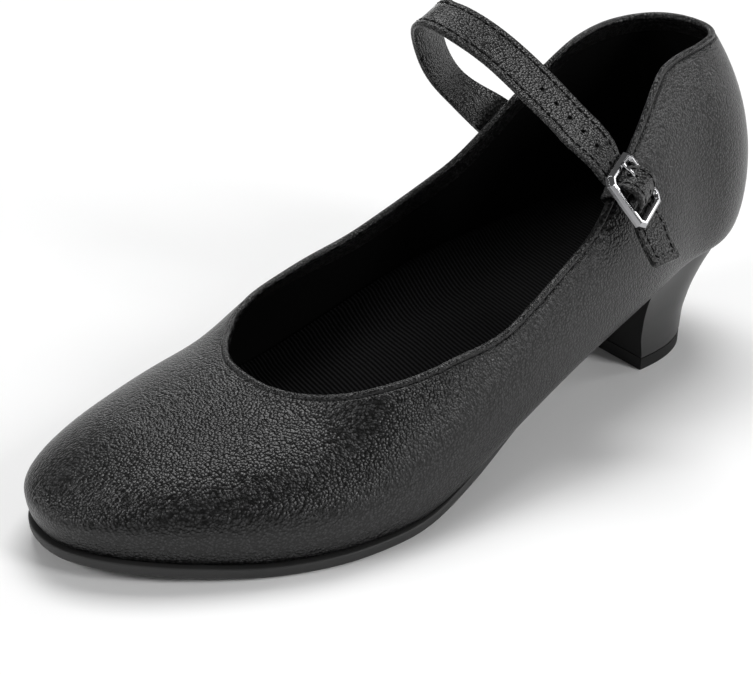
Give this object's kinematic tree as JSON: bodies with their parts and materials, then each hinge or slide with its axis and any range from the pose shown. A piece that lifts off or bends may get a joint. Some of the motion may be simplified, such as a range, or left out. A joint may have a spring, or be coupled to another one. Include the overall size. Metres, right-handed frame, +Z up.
{
  "type": "character shoe",
  "caption": "Left low-heeled round-toe dance pump with a buckled instep strap, hollow upper, padded insole, thin outsole and curved block heel",
  "frame": {"origin": "centre of the flat ground face of the top piece under the heel", "axes": "+Z up, toe towards -Y, the wearer's outer side towards +X"},
  "size_m": [0.0967, 0.246, 0.1162],
  "materials": {
    "upper": "fine pebble grain, satin",
    "insole": "black ribbed lining cloth over foam",
    "outsole": "matt",
    "heel": "satin black lacquer",
    "top_piece": "matt",
    "strap": "fine pebble grain, stitched border",
    "buckle_frame": "polished dark nickel",
    "buckle_prong": "polished dark nickel",
    "buckle_tab": "plain"
  },
  "bodies": {
    "root": {"upper": "upper", "insole": "insole", "outsole": "outsole", "heel": "heel", "top_piece": "top_piece", "strap": "strap", "buckle_frame": "buckle_frame", "buckle_prong": "buckle_prong", "buckle_tab": "buckle_tab"}
  },
  "joints": []
}
